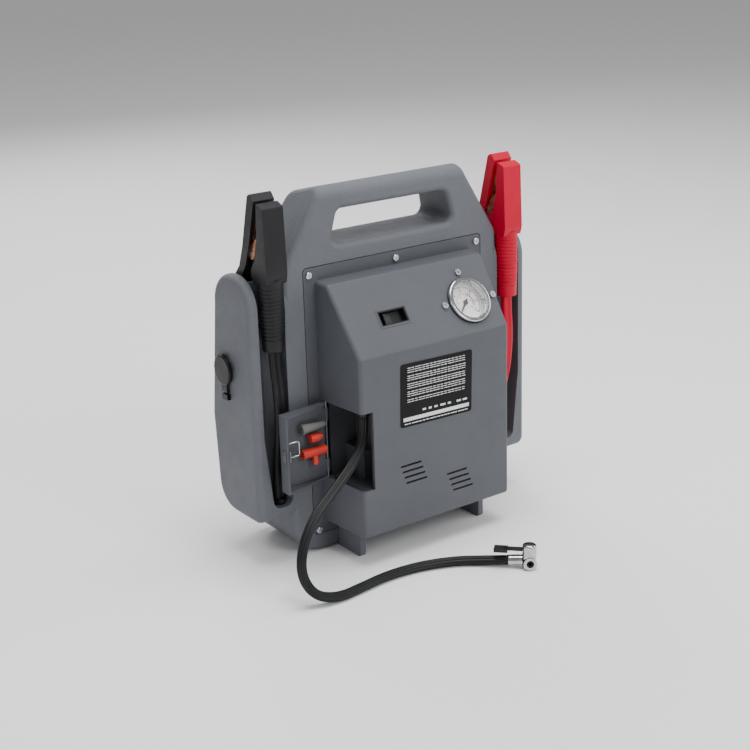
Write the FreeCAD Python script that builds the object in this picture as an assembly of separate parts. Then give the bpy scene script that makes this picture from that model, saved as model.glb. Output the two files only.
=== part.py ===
import FreeCAD, Part
import math
import os

V = FreeCAD.Vector

# Housing, in millimetres. X is the width, -Y the front, Z up from the base.
HALF_WIDTH = 137.0
HEIGHT = 387.0
SHOULDER_Z = 307.0
TOP_HALF = 88.0
FRONT_Y = -47.4
REAR_Y = 41.0
REAR_KNEE_Z = 165.0
REAR_TOP_Y = 4.0
REAR_TOP_Z = 374.0
CROWN = 0.6
WALL = 3.0
FRONT_WALL = 6.0
SPLIT_Y = -3.0

# Side wings and the clamp holsters between the wings and the body.
WING_OUT = 177.5
WING_IN = 167.5
WING_BOTTOM = 47.5
WING_TOP = 305.0
WING_ARCH_Y = -12.0
WING_ARCH_R = 35.0
WEB_FRONT = -26.0
WEB_BACK = -22.0
WEB_TOP = 298.0
CHANNEL_FLOOR = 62.0
POCKET_FLOOR = 225.0

# Grip opening.
GRIP_LOW_Z = 325.0
GRIP_HIGH_Z = 360.0
GRIP_LOW_HALF = 78.0
GRIP_HIGH_HALF = 68.0
GRIP_ROUND = 6.0

# Skid rails under the compressor box.
RAIL_X0, RAIL_X1 = 76.0, 82.4
RAIL_FRONT = -86.6
RAIL_TOP = 33.0

# Compressor cover.
FLANGE_HALF = 113.1
FLANGE_Z0, FLANGE_Z1 = 20.5, 306.7
FLANGE_T = 3.0
FLANGE_GAP = 0.8
BOX_FRONT = -114.5
BOX_Z0 = 33.1
BOX_KNEE_Z = 223.7
SLOPE_TOP = (-66.3, 291.4)
BOX_TOP_Z = 293.0
BOX_BASE_HALF = 100.5
BOX_FRONT_HALF = 95.4
COVER_WALL = 2.5

# Hose compartment and its door.
DOOR_Z0, DOOR_Z1 = 85.1, 168.1
DOOR_BACK_Y = -53.0
DOOR_FRONT_X = -81.0
HINGE_X, HINGE_Y = -98.4, -55.6
DOOR_OPEN_DEG = 90.0
LINER_X = -60.0
KNUCKLES = [(92, 106), (147, 161)]
CAP_HINGE_Z = 182.4

# Gauge and switch on the sloping face.
GAUGE_X, GAUGE_Y, GAUGE_Z = 58.9, -94.1, 252.5
BEZEL_R = 25.0
GAUGE_SCREW_R = 31.7
SWITCH_X, SWITCH_Y, SWITCH_Z = -37.6, -93.0, 253.8
SWITCH_W, SWITCH_H = 33.4, 15.7
ROCKER_TILT_DEG = 8.0

# 12 V battery, a standard block.
BATTERY = (181.0, 76.0, 167.0)
BATTERY_Y0, BATTERY_Z0 = -41.2, 12.0
BATTERY_LID = 6.0

# Clamps: one centre for each holster.
CLAMP_X = {"black": -150.5, "red": 150.5}
GRIP_Y = -47.0
PIVOT_Y, PIVOT_Z = -27.0, 327.0
GRIP_TOP_Z, GRIP_MID_Z, GRIP_BOTTOM_Z = 304.0, 268.0, 232.0
GRIP_TOP_R, GRIP_MID_R, GRIP_LOW_R = 12.0, 12.6, 11.4
GRIP_GROOVES, GRIP_PITCH = 14, 3.9

LEAD_D = 8.0
HOSE_D = 10.0
HOSE_ROUTE = [
    (-81.6, -98, 160), (-81.6, -98, 137), (-96, -103, 118), (-130, -115, 99), (-166, -129, 83),
    (-187, -138, 58), (-191, -142, 33), (-181, -149, 12), (-158, -155, 5.2), (-126, -151, 5.2),
    (-92, -146.5, 5.2), (-55, -150, 5.2), (-20, -163, 5.2), (3, -181, 5.6), (21.5, -200.5, 7.5),
]
LEAD_ROUTE = {
    "black": [(0, -47, 232), (0, -47, 214), (1.5, -49.5, 190), (4, -46, 150), (4.5, -38, 112),
              (4.5, -35, 88), (4.5, -35, 68)],
    "red": [(0, -47, 232), (0, -47, 214), (-0.5, -49, 190), (-0.5, -46, 150), (3, -37.5, 112),
            (4.5, -35, 88), (4.5, -35, 68)],
}

parts = {}


def on_xz(y):
    return lambda a, b: V(a, y, b)


def on_yz(x):
    return lambda a, b: V(x, a, b)


def on_xy(z):
    return lambda a, b: V(a, b, z)


def rounded_face(corners, place):
    """A flat face from (a, b, radius) corners, each rounded by a tangent arc."""
    arcs = []
    for i, (a, b, r) in enumerate(corners):
        before, after = corners[i - 1], corners[(i + 1) % len(corners)]
        here = V(a, b, 0)
        u = V(before[0] - a, before[1] - b, 0).normalize()
        v = V(after[0] - a, after[1] - b, 0).normalize()
        if r <= 0:
            arcs.append((here, None, here))
            continue
        half = math.acos(max(-1.0, min(1.0, u.dot(v)))) / 2
        middle = (u + v).normalize()
        centre = here + middle * (r / math.sin(half))
        reach = r / math.tan(half)
        arcs.append((here + u * reach, centre - middle * r, here + v * reach))
    edges = []
    for i, (start, middle, end) in enumerate(arcs):
        following = arcs[(i + 1) % len(arcs)][0]
        if middle is not None:
            points = [place(q.x, q.y) for q in (start, middle, end)]
            edges.append(Part.Arc(*points).toShape())
        if (following - end).Length > 1e-6:
            edges.append(Part.LineSegment(place(end.x, end.y), place(following.x, following.y)).toShape())
    return Part.Face(Part.Wire(edges))


def prism_y(corners, y0, y1):
    return rounded_face(corners, on_xz(y0)).extrude(V(0, y1 - y0, 0))


def prism_x(corners, x0, x1):
    return rounded_face(corners, on_yz(x0)).extrude(V(x1 - x0, 0, 0))


def prism_z(corners, z0, z1):
    return rounded_face(corners, on_xy(z0)).extrude(V(0, 0, z1 - z0))


def box(x0, x1, y0, y1, z0, z1):
    return Part.makeBox(x1 - x0, y1 - y0, z1 - z0, V(x0, y0, z0))


def cylinder(radius, start, end):
    a, b = V(*start), V(*end)
    return Part.makeCylinder(radius, (b - a).Length, a, b - a)


def cone(r0, r1, start, end):
    a, b = V(*start), V(*end)
    return Part.makeCone(r0, r1, (b - a).Length, a, b - a)


def union(shapes):
    result = shapes[0]
    for shape in shapes[1:]:
        result = result.fuse(shape)
    return result.removeSplitter()


def rectangle(a0, a1, b0, b1, r):
    return [(a0, b0, r), (a1, b0, r), (a1, b1, r), (a0, b1, r)]


def flat_edges(shape, axis, value):
    """The edges that lie in the plane where one coordinate has this value."""
    def inside(edge):
        box_of = edge.BoundBox
        low = getattr(box_of, axis + "Min")
        high = getattr(box_of, axis + "Max")
        return abs(low - value) < 1e-3 and abs(high - value) < 1e-3
    return [edge for edge in shape.Edges if inside(edge)]


def mirrored(shape):
    return shape.mirror(V(0, 0, 0), V(1, 0, 0))


def keep(node, *solids):
    """Writes one node, whose pieces are separate solids."""
    shape = solids[0] if len(solids) == 1 else Part.makeCompound(list(solids))
    parts[node] = shape
    shape.exportStep("parts/" + node + ".step")


# ---------------------------------------------------------------- housing

def core(t, front):
    """The body between the wings, inset by t, with its front face at y = front."""
    outline = [
        (-HALF_WIDTH + t, t, 38 - t), (HALF_WIDTH - t, t, 38 - t), (HALF_WIDTH - t, SHOULDER_Z - 0.3 * t, 14),
        (TOP_HALF - 0.5 * t, HEIGHT - t, 13), (-TOP_HALF + 0.5 * t, HEIGHT - t, 13),
        (-HALF_WIDTH + t, SHOULDER_Z - 0.3 * t, 14),
    ]
    side = [
        (front, t - CROWN, 0), (REAR_Y - t, t - CROWN, 20 - t), (REAR_Y - t, REAR_KNEE_Z, 30),
        (REAR_TOP_Y - t, REAR_TOP_Z - t + CROWN, 15), (front, HEIGHT - t + CROWN, 12),
    ]
    body = prism_y(outline, -80, 80).common(prism_x(side, -150, 150))
    return body.makeFillet(7 - 0.5 * t, flat_edges(body, "Y", front))


def grip_opening(t):
    corners = [
        (-GRIP_LOW_HALF - t, GRIP_LOW_Z - t, 8 + t), (GRIP_LOW_HALF + t, GRIP_LOW_Z - t, 8 + t),
        (GRIP_HIGH_HALF + t, GRIP_HIGH_Z + t, 8 + t), (-GRIP_HIGH_HALF - t, GRIP_HIGH_Z + t, 8 + t),
    ]
    return prism_y(corners, -90, 90)


def rounded_grip(body):
    """Rounds the opening's edges where a hand goes through."""
    def at_opening(edge):
        middle = edge.valueAt((edge.FirstParameter + edge.LastParameter) / 2)
        wide = abs(middle.x) < GRIP_LOW_HALF + 1
        return wide and GRIP_LOW_Z - 1 < middle.z < GRIP_HIGH_Z + 1

    front = [e for e in flat_edges(body, "Y", FRONT_Y) if at_opening(e)]
    body = body.makeFillet(GRIP_ROUND, front)
    rear = [e for e in body.Edges if at_opening(e) and e.BoundBox.YMin > 4 and e.BoundBox.YLength < 6]
    return body.makeFillet(GRIP_ROUND, rear)


def wing_block(t):
    """One side block on +X, from inside the body out to the wing's face, inset by t."""
    r = WING_ARCH_R
    corners = [
        (FRONT_Y + t, WING_BOTTOM + t, 12 - t), (33 - t, WING_BOTTOM + t, 30 - t), (39 - t, 150, 40),
        (WING_ARCH_Y + r - t, 270, 60), (WING_ARCH_Y + r - t - 3, WING_TOP - t, r - t - 3),
        (FRONT_Y + t, WING_TOP - t, r - t - 3),
    ]
    block = prism_x(corners, 125, WING_OUT - t)
    return block.makeFillet(max(7 - t, 2), flat_edges(block, "X", WING_OUT - t))


def holster(t):
    """The front channel and the rear pocket of one wing, grown by t."""
    low = CHANNEL_FLOOR - t
    channel = prism_y(
        [
            (HALF_WIDTH - t, low, 9), (WING_IN - 8 + t, low, 9), (WING_IN + t, 140, 30),
            (WING_IN + t, 340, 0), (HALF_WIDTH - t, 340, 0),
        ],
        -80, WEB_FRONT + t,
    )
    pocket = box(HALF_WIDTH - t, WING_IN + t, WEB_BACK - t, 80, POCKET_FLOOR - t, 340)
    above = box(HALF_WIDTH - t, WING_IN + t, -80, 80, WEB_TOP, 340)
    return channel, pocket, above


def housing_solid(t):
    """The filled housing: t = 0 is the outer skin, t = WALL the hollow inside it."""
    front = FRONT_Y + (FRONT_WALL if t else 0.0)
    body = core(t, front)
    body = body.cut(grip_opening(t))
    if not t:
        body = rounded_grip(body)
    blocks = []
    for side in (1, -1):
        block = wing_block(t)
        for hole in holster(t):
            block = block.cut(hole)
        blocks.append(block if side == 1 else mirrored(block))
    return union([body] + blocks)


def flange_recess():
    g = FLANGE_GAP
    plate = rectangle(-FLANGE_HALF - g, FLANGE_HALF + g, FLANGE_Z0 - g, FLANGE_Z1 + g, 4.8)
    return prism_y(plate, FRONT_Y - 1, FRONT_Y + FLANGE_T)


COVER_SCREWS = [(-107.1, 299.3), (0, 299.3), (107.1, 299.3), (-107.1, 24.6), (0, 24.6), (107.1, 24.6)]
SHELL_SCREWS = [(-112, 60), (112, 60), (-112, 190), (112, 190), (-88, 346), (88, 346)]
SOCKET_Y, SOCKET_Z, SOCKET_R = 2.0, 205.0, 12.0
JACK = (70.0, 235.0)
BUTTON = (-60.0, 235.0)


def rear_y(z):
    """The rear face's depth at height z."""
    if z <= REAR_KNEE_Z:
        return REAR_Y
    return REAR_Y + (REAR_TOP_Y - REAR_Y) * (z - REAR_KNEE_Z) / (REAR_TOP_Z - REAR_KNEE_Z)


def lead_route(colour):
    """A lead's route in its channel, bowed towards the body."""
    x = CLAMP_X[colour]
    side = 1 if x < 0 else -1
    return [(x + side * dx, y, z) for dx, y, z in LEAD_ROUTE[colour]]


def lead_end(colour):
    return lead_route(colour)[-1]


def rails():
    rail = union([
        prism_x([(RAIL_FRONT, 0, 4), (FRONT_Y - 0.01, 0, 0), (FRONT_Y - 0.01, RAIL_TOP, 0),
                 (RAIL_FRONT, RAIL_TOP, 6)],
                RAIL_X0, RAIL_X1),
        box(RAIL_X0, RAIL_X1, -52, FRONT_Y + FRONT_WALL, 0, FLANGE_Z0 - FLANGE_GAP),
    ])
    return [rail, mirrored(rail)]


def shells():
    shell = housing_solid(0).cut(housing_solid(WALL))
    shell = shell.cut(flange_recess())
    shell = shell.cut(prism_y(rectangle(-94, 94, 44, 286, 6), -60, FRONT_Y + FRONT_WALL + 1))
    front = shell.common(box(-200, 200, -120, SPLIT_Y, -10, 400))
    rear = shell.common(box(-200, 200, SPLIT_Y, 120, -10, 400))
    front = union([front] + rails())
    bosses = []
    for x, z in SHELL_SCREWS:
        low = FRONT_Y + FRONT_WALL - 1
        bosses.append(cylinder(5.0, (x, low, z), (x, SPLIT_Y, z)))
    front = union([front] + bosses)
    for x, z in SHELL_SCREWS:
        front = front.cut(cylinder(1.6, (x, SPLIT_Y - 22, z), (x, SPLIT_Y + 1, z)))
        rear = rear.cut(cylinder(2.3, (x, rear_y(z) - 12, z), (x, rear_y(z) + 12, z)))
        rear = rear.cut(cylinder(4.6, (x, rear_y(z) - 1.5, z), (x, rear_y(z) + 20, z)))
    for x, z in COVER_SCREWS:
        front = front.cut(cylinder(1.6, (x, FRONT_Y, z), (x, FRONT_Y + FRONT_WALL - 1, z)))
    socket = cylinder(SOCKET_R + 0.2, (-WING_OUT - 5, SOCKET_Y, SOCKET_Z),
                      (-WING_OUT + 6, SOCKET_Y, SOCKET_Z))
    front = front.cut(socket)
    rear = rear.cut(socket)
    for (x, z), r in ((JACK, 5.2), (BUTTON, 4.3)):
        rear = rear.cut(cylinder(r, (x, rear_y(z) - 15, z), (x, rear_y(z) + 15, z)))
    for k in range(3):
        x = BUTTON[0] + 16 + 9 * k
        y, z = rear_y(BUTTON[1]), BUTTON[1]
        rear = rear.cut(cylinder(2.6, (x, y - 15, z), (x, y + 15, z)))
    for colour in CLAMP_X:
        x, y, _ = lead_end(colour)
        front = front.cut(cylinder(6.0, (x, y, CHANNEL_FLOOR - 8), (x, y, CHANNEL_FLOOR + 6)))
    keep("front_shell", front)
    keep("rear_shell", rear)


# ---------------------------------------------------------- compressor cover

SLOPE_UP = V(0, SLOPE_TOP[0] - BOX_FRONT, SLOPE_TOP[1] - BOX_KNEE_Z).normalize()
SLOPE_DEG = math.degrees(math.atan2(SLOPE_UP.z, SLOPE_UP.y))


def on_slope(shape, x, y, z):
    """Turns a shape drawn flat, with its outside towards +Z, onto the cover's slope."""
    placed = shape.copy()
    slope = FreeCAD.Placement(V(x, y, z), FreeCAD.Rotation(V(1, 0, 0), SLOPE_DEG))
    placed.Placement = slope.multiply(placed.Placement)
    return placed


def on_gauge(shape):
    return on_slope(shape, GAUGE_X, GAUGE_Y, GAUGE_Z)


def on_switch(shape):
    return on_slope(shape, SWITCH_X, SWITCH_Y, SWITCH_Z)


def disc(radius, low, high, x=0.0, y=0.0):
    return cylinder(radius, (x, y, low), (x, y, high))


def gauge_screw_places():
    return [(GAUGE_SCREW_R * math.cos(math.radians(a)), GAUGE_SCREW_R * math.sin(math.radians(a)))
            for a in (0, 90, 180)]


def cover_block(t, base):
    """The cover's bulge: t insets it for the hollow, base is how far back it reaches."""
    side = [
        (base, BOX_Z0 + t, 0), (BOX_FRONT + t, BOX_Z0 + t, 0), (BOX_FRONT + t, BOX_KNEE_Z - 0.6 * t, 0),
        (SLOPE_TOP[0] + 0.5 * t, SLOPE_TOP[1] - t, 0), (base, BOX_TOP_Z - t, 0),
    ]
    plan = [
        (-BOX_BASE_HALF + t, base, 0), (-BOX_FRONT_HALF + t, BOX_FRONT, 0),
        (BOX_FRONT_HALF - t, BOX_FRONT, 0), (BOX_BASE_HALF - t, base, 0),
    ]
    block = prism_x(side, -120, 120).common(prism_z(plan, 0, 400))
    edges = [e for e in block.Edges if e.BoundBox.YMax < base - 0.01 or e.BoundBox.YLength > 1]
    return block.makeFillet(4.0 if t == 0 else 1.5, edges)


VENT_LENGTH, VENT_HALF_HEIGHT = 26.8, 1.1
VENT_GROUPS = [(-48.8, 100.4, 2.25, -6.4), (10.9, 76.9, 2.7, -6.7)]
VENT_SLOTS = 4


def vents():
    slots = []
    for x0, z0, step_x, step_z in VENT_GROUPS:
        for k in range(VENT_SLOTS):
            x, z = x0 + k * step_x, z0 + k * step_z
            slot = rectangle(x, x + VENT_LENGTH, z - VENT_HALF_HEIGHT, z + VENT_HALF_HEIGHT, 1.05)
            slots.append(prism_y(slot, BOX_FRONT - 2, BOX_FRONT + 8))
    return slots


def compressor_cover():
    base = FRONT_Y + FLANGE_T
    flange = prism_y(rectangle(-FLANGE_HALF, FLANGE_HALF, FLANGE_Z0, FLANGE_Z1, 4), FRONT_Y, base)
    cover = union([cover_block(0, base), flange])
    cover = cover.cut(cover_block(COVER_WALL, base + 1))
    cover = cover.cut(box(-120, -86, -120, DOOR_BACK_Y, DOOR_Z0, DOOR_Z1))
    cover = cover.cut(box(-120, DOOR_FRONT_X, -120, -100, DOOR_Z0, DOOR_Z1))
    lugs = [box(-99.0, -93, HINGE_Y - 4.4, DOOR_BACK_Y, DOOR_Z1, DOOR_Z1 + 6),
            box(-99.0, -93, HINGE_Y - 4.4, DOOR_BACK_Y, DOOR_Z0 - 6, DOOR_Z0)]
    cover = union([cover] + lugs)
    cover = cover.cut(cylinder(1.2, (HINGE_X, HINGE_Y, DOOR_Z0 - 4), (HINGE_X, HINGE_Y, DOOR_Z1 + 4)))
    for slot in vents():
        cover = cover.cut(slot)
    for x, z in COVER_SCREWS:
        cover = cover.cut(cylinder(2.2, (x, FRONT_Y - 1, z), (x, base + 1, z)))
    cover = cover.cut(on_gauge(disc(22.6, -10, 5)))
    for x, y in gauge_screw_places():
        cover = cover.cut(on_gauge(disc(1.6, -10, 5, x, y)))
    recess = on_switch(box(-SWITCH_W / 2, SWITCH_W / 2, -SWITCH_H / 2, SWITCH_H / 2, -10, 5))
    keep("compressor_cover", cover.cut(recess))


def pan_head(x, z, y, length):
    """A pan-head screw seen from the front, its head resting on the face at y."""
    head = cylinder(3.7, (x, y, z), (x, y - 2.3, z))
    head = head.makeFillet(1.2, flat_edges(head, "Y", y - 2.3))
    head = union([head, cylinder(1.5, (x, y + length, z), (x, y, z))])
    for w, h in ((3.6, 0.8), (0.8, 3.6)):
        head = head.cut(box(x - w / 2, x + w / 2, y - 2.4, y - 1.0, z - h / 2, z + h / 2))
    return head


def fasteners():
    keep("cover_screws", *[pan_head(x, z, FRONT_Y, FRONT_WALL - 1.2) for x, z in COVER_SCREWS])
    rear = []
    for x, z in SHELL_SCREWS:
        seat = rear_y(z) - 1.5
        shank = cylinder(1.5, (x, SPLIT_Y - 15, z), (x, seat, z))
        rear.append(union([cylinder(3.7, (x, seat, z), (x, seat + 1.4, z)), shank]))
    keep("shell_screws", *rear)


def label():
    plate = prism_y(rectangle(-46, 46, -33.5, 33.5, 3), BOX_FRONT - 0.5, BOX_FRONT)
    plate.Placement = FreeCAD.Placement(V(-1, 0, 174.9), FreeCAD.Rotation(V(0, 1, 0), 1.5))
    keep("rating_label", plate)


# ------------------------------------------------------------ gauge and switch

NEEDLE_REST_DEG = 225.0
MOVEMENT_TOP = -9.0


def gauge():
    case = disc(22.2, -20, -0.1).cut(disc(20.6, -17, 1))
    for k, (x, y) in enumerate(gauge_screw_places()):
        ear = union([box(21.5, GAUGE_SCREW_R, -3, 3, -5.5, -2.8), disc(3.0, -5.5, -2.8, GAUGE_SCREW_R, 0)])
        ear.rotate(V(0, 0, 0), V(0, 0, 1), 90 * k)
        case = union([case, ear]).cut(disc(1.45, -8, 0, x, y))
    keep("gauge_case", on_gauge(case))
    ring = disc(BEZEL_R, 0.1, 4.2).cut(disc(20.9, 0, 5))
    ring = ring.makeFillet(1.6, [e for e in flat_edges(ring, "Z", 4.2) if e.Length > 140])
    keep("gauge_bezel", on_gauge(ring))
    keep("gauge_lens", on_gauge(disc(20.85, 2.0, 3.2)))
    keep("gauge_dial", on_gauge(disc(20.4, -8.2, -7.4).cut(disc(1.3, -10, 0))))
    keep("gauge_movement", on_gauge(disc(15, -16.8, MOVEMENT_TOP).cut(disc(1.2, -14, 0))))
    blade = prism_z([(-5, -1.1, 0), (0, -1.2, 0), (15.5, -0.35, 0), (15.5, 0.35, 0), (0, 1.2, 0),
                     (-5, 1.1, 0)],
                    -6.4, -5.9)
    needle = union([blade, disc(2.6, -6.4, -5.2), disc(1.1, -13, -6)])
    needle.rotate(V(0, 0, 0), V(0, 0, 1), NEEDLE_REST_DEG)
    keep("gauge_needle", on_gauge(needle))
    screws = []
    for x, y in gauge_screw_places():
        screw = union([disc(3.4, 0.05, 2.2, x, y), disc(1.4, -6.5, 1.0, x, y)])
        for w, h in ((3.4, 0.8), (0.8, 3.4)):
            screw = screw.cut(box(x - w / 2, x + w / 2, y - h / 2, y + h / 2, 1.0, 3))
        screws.append(on_gauge(screw))
    keep("gauge_screws", *screws)


def switch():
    half_w, half_h = SWITCH_W / 2 - 0.1, SWITCH_H / 2 - 0.1
    tray = box(-half_w, half_w, -half_h, half_h, -11, -0.1)
    tray = tray.cut(box(-half_w + 1.2, half_w - 1.2, -half_h + 1.0, half_h - 1.0, -8, 1))
    tray = tray.cut(box(-10.9, 10.9, -6.4, 6.4, -12, 0))
    keep("switch_tray", on_switch(tray))
    body = box(-12, 12, -7, 7, -26, -11.1).cut(box(-10.6, 10.6, -6.1, 6.1, -17, -10))
    keep("switch_body", on_switch(body))
    profile = [(-10.1, -4.4, 0), (-9.6, -9.5, 0), (-7, -13, 0), (7, -13, 0), (9.6, -9.5, 0), (10.1, -4.4, 0),
               (0, -5.9, 0)]
    rocker = union([prism_y(profile, -6.0, 6.0), cylinder(1.2, (0, -6.3, -9), (0, 6.3, -9))])
    rocker.rotate(V(0, 0, -9), V(0, 1, 0), ROCKER_TILT_DEG)
    keep("switch_rocker", on_switch(rocker))


# ----------------------------------------------------------------- hose door

def opened(shape):
    """Turns a piece drawn with the door shut to where the door stands open."""
    turned = shape.copy()
    turned.rotate(V(HINGE_X, HINGE_Y, 0), V(0, 0, 1), -DOOR_OPEN_DEG)
    return turned


def hose_door():
    low, high = DOOR_Z0 + 0.5, DOOR_Z1 - 0.5
    wall = [
        (-99.95, -58.4, 0), (-95.5, -114.4, 2), (-81.5, -114.4, 0), (-81.5, -112.2, 0), (-93.4, -112.2, 0),
        (-97.7, -58.4, 0),
    ]
    rim = [(-99.95, -58.4, 0), (-95.5, -114.4, 2), (-81.5, -114.4, 0), (-81.5, -112.2, 0), (-95.3, -58.4, 0)]
    door = union([prism_z(wall, low, high), prism_z(rim, low, low + 2), prism_z(rim, high - 2, high)])
    for z0, z1 in KNUCKLES:
        door = union([door, disc(2.3, z0, z1, HINGE_X, HINGE_Y), box(-99.6, -97.4, -58.6, -56.4, z0, z1)])
        door = door.cut(disc(1.25, z0 - 1, z1 + 1, HINGE_X, HINGE_Y))
    keep("hose_door", opened(door))
    keep("door_hinge_pin", disc(1.2, DOOR_Z0 - 4, DOOR_Z1 + 4, HINGE_X, HINGE_Y))
    tongue = union([box(-91, -80.5, -112.2, -110.4, 121, 132), box(-91, -89.4, -112.2, -98, 121, 123)])
    keep("door_latch", opened(tongue))


def adapters():
    """The three inflator adapters and the clips that hold them inside the door."""
    x = -89.6
    grey = union([cone(5.4, 4.4, (x, -92, 148), (x, -82, 148)), cone(4.4, 2.8, (x, -82, 148), (x, -64, 148))])
    grey = grey.cut(cylinder(1.6, (x, -94, 148), (x, -84, 148)))
    keep("cone_adapter", opened(grey))
    stub = union([cylinder(4.6, (x, -82, 136), (x, -72, 136)), cylinder(3.2, (x, -72, 136), (x, -68, 136))])
    keep("ball_needle_adapter", opened(stub))
    long_part = union([
        cylinder(4.8, (x, -92, 121), (x, -64, 121)), cylinder(3.4, (x, -76, 121), (x, -76, 108)),
    ])
    keep("valve_adapter", opened(long_part.cut(cylinder(2.2, (x, -93, 121), (x, -84, 121)))))
    clips = []
    for y, z, r in ((-87, 147.5, 5.1), (-77, 136, 4.6), (-70, 121, 4.8)):
        inner = -97.6 + (-58.4 - y) * (97.7 - 93.4) / (112.2 - 58.4)
        clips.append(box(inner + 0.2, x - r - 0.05, y - 2, y + 2, z - 3, z + 3))
    keep("adapter_clips", *[opened(c) for c in clips])


def hose_liner():
    body = box(-92.4, LINER_X + 2, -111.8, DOOR_BACK_Y + 2, DOOR_Z0 - 2.6, DOOR_Z1 + 2.6)
    body = body.cut(box(-100, LINER_X, -120, DOOR_BACK_Y, DOOR_Z0 - 0.4, DOOR_Z1 + 0.4))
    front = box(DOOR_FRONT_X, LINER_X + 2, -111.8, -110.2, DOOR_Z0 - 2.6, DOOR_Z1 + 2.6)
    block = box(-74, LINER_X + 2, -86, DOOR_BACK_Y + 2, DOOR_Z0 - 2.6, 116)
    liner = union([body, front, block])
    x, y, _ = HOSE_ROUTE[0]
    keep("hose_liner", liner.cut(cylinder(6.1, (x, y, 150), (x, y, 190))))
    outlet = union([
        cylinder(6.0, (x, y, HOSE_ROUTE[0][2]), (x, y, DOOR_Z1 + 8)),
        cylinder(8.0, (x, y, DOOR_Z1 + 2.7), (x, y, DOOR_Z1 + 6)),
    ])
    keep("hose_outlet", outlet)


# -------------------------------------------------------------------- cords

def cord_tube(route, diameter, name):
    """A tube of straight runs joined by tangent arcs, with its bend radii printed."""
    points = [V(*p) for p in route]
    edges, radii = [], []
    start = points[0]
    for i in range(1, len(points) - 1):
        before, after = points[i - 1] - points[i], points[i + 1] - points[i]
        run = min(before.Length, after.Length)
        u, v = V(before).normalize(), V(after).normalize()
        half_turn = (math.pi - math.acos(max(-1.0, min(1.0, u.dot(v))))) / 2
        radius = 0.45 * run / math.tan(half_turn)
        middle = (u + v).normalize()
        a, b = points[i] + u * (0.45 * run), points[i] + v * (0.45 * run)
        inner = points[i] + middle * (radius / math.cos(half_turn) - radius)
        edges.append(Part.LineSegment(start, a).toShape())
        edges.append(Part.Arc(a, inner, b).toShape())
        radii.append(round(radius))
        start = b
    edges.append(Part.LineSegment(start, points[-1]).toShape())
    wire = Part.Wire(edges)
    section = Part.Wire([Part.Circle(points[0], points[1] - points[0], diameter / 2).toShape()])
    tube = wire.makePipeShell([section], True, False)
    ideal = math.pi * (diameter / 2) ** 2 * wire.Length
    print(name, "length", round(wire.Length, 1), "radii", radii)
    print(name, "volume ratio", round(tube.Volume / ideal, 4))
    return tube


CHUCK_REACH = 21.0
HEAD_R, HEAD_TOP = 7.2, 26.5
NOZZLE_Z = 7.4
NOZZLE_FACING = (-0.56, -0.83, 0)
LEVER_Z = 20.5


def hose_and_chuck():
    keep("air_hose", cord_tube(HOSE_ROUTE, HOSE_D, "air_hose"))
    end, before = V(*HOSE_ROUTE[-1]), V(*HOSE_ROUTE[-2])
    along = (before - end).normalize()
    head = end - along * CHUCK_REACH
    x, y = head.x, head.y
    ferrule = Part.makeCylinder(5.6, CHUCK_REACH - HEAD_R + 0.6, end, -along)
    body = disc(HEAD_R, 0.6, HEAD_TOP, x, y)
    body = body.makeFillet(2.4, flat_edges(body, "Z", HEAD_TOP))
    facing = V(*NOZZLE_FACING)
    nose = V(x, y, NOZZLE_Z)
    body = union([body, Part.makeCylinder(6.8, 8.4, nose, facing)])
    body = body.cut(Part.makeCylinder(4.0, 12, nose + facing * 2, facing))
    turn = math.degrees(math.atan2(along.y, along.x))

    def at_head(shape):
        shape.rotate(V(0, 0, 0), V(0, 0, 1), turn)
        shape.translate(V(x, y, 0))
        return shape

    bore = at_head(cylinder(1.05, (0, -15, LEVER_Z), (0, 15, LEVER_Z)))
    pin = at_head(cylinder(1.0, (0, -HEAD_R + 0.8, LEVER_Z), (0, HEAD_R - 0.8, LEVER_Z)))
    body = body.cut(at_head(box(-8, 8, -1.8, 1.8, LEVER_Z - 4, 30)))
    keep("chuck_body", body.cut(ferrule).cut(pin))
    keep("chuck_pin", pin)
    keep("hose_ferrule", ferrule)
    seal = Part.makeCylinder(3.9, 5.5, nose + facing * 2.2, facing)
    keep("chuck_seal", seal.cut(Part.makeCylinder(2.2, 12, nose + facing * 3, facing)))
    cam = disc(3, LEVER_Z - 2.5, LEVER_Z + 3.5).common(box(-4, 4, -1.6, 1.6, 10, 30))
    arm = box(-3, 26, -1.6, 1.6, LEVER_Z - 2, LEVER_Z + 1.5)
    pad = box(22, 36, -5.5, 5.5, LEVER_Z - 3, LEVER_Z + 0.5)
    keep("chuck_lever", at_head(union([arm, pad, cam])).cut(bore))
    print("chuck head", head, "lever lifts about", V(along.y, -along.x, 0).normalize())


# ------------------------------------------------------------------- clamps

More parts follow.
